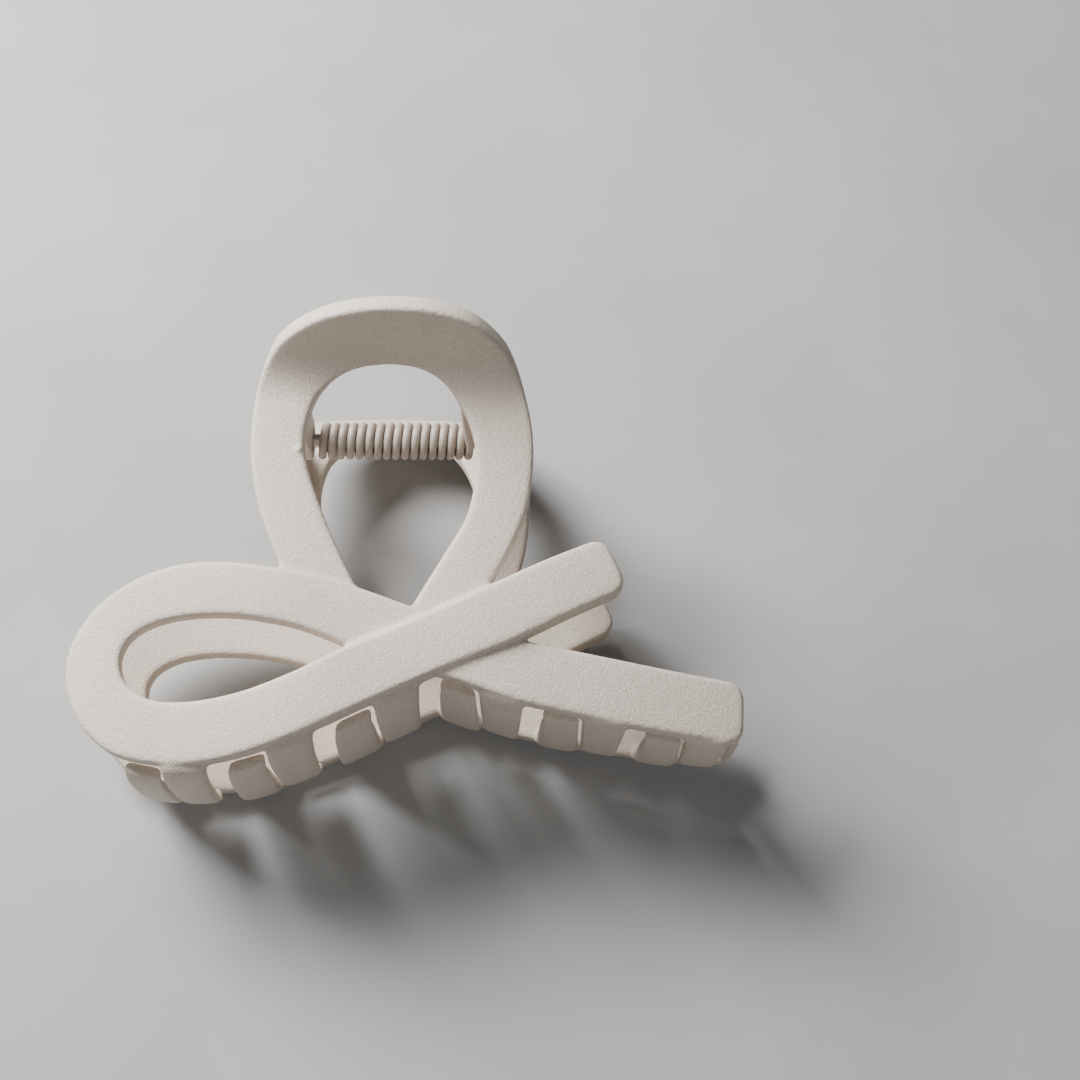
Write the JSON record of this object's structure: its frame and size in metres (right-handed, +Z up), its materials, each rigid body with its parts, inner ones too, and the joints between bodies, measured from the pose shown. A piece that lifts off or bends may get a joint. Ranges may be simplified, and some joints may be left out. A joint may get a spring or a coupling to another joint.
{
  "type": "ribbon claw clip",
  "caption": "Hair claw clip with two looped ribbon jaws, flared finger rings, interlocking teeth and a torsion spring on a hinge pin.",
  "frame": {"origin": "centre of the bounding box, on the table under the clip", "axes": "+X along the hinge pin towards the two free ribbon ends, +Y towards the finger rings, +Z up through the jaws, the clip lying on its back jaw"},
  "size_m": [0.0944, 0.0724, 0.0545],
  "materials": {
    "jaw_paint": "soft-touch matt paint over moulded ABS, warm grey-beige",
    "spring_paint": "spring steel wire under the same matt paint",
    "pin_steel": "plain steel rod"
  },
  "bodies": {
    "back_half": {"back_jaw": "jaw_paint", "hinge_pin": "pin_steel", "torsion_spring": "spring_paint"},
    "front_half": {"front_jaw": "jaw_paint"}
  },
  "joints": [
    {"name": "jaw_hinge", "type": "hinge", "parent": "back_half", "child": "front_half", "pos_m": [-0.00325, 0.01834, 0.02574], "axis": [-1, 0, 0], "range_deg": [0, 80], "stiffness_Nm_per_rad": 0.096, "springref_deg": -60.16, "deforming": ["torsion_spring"]}
  ]
}
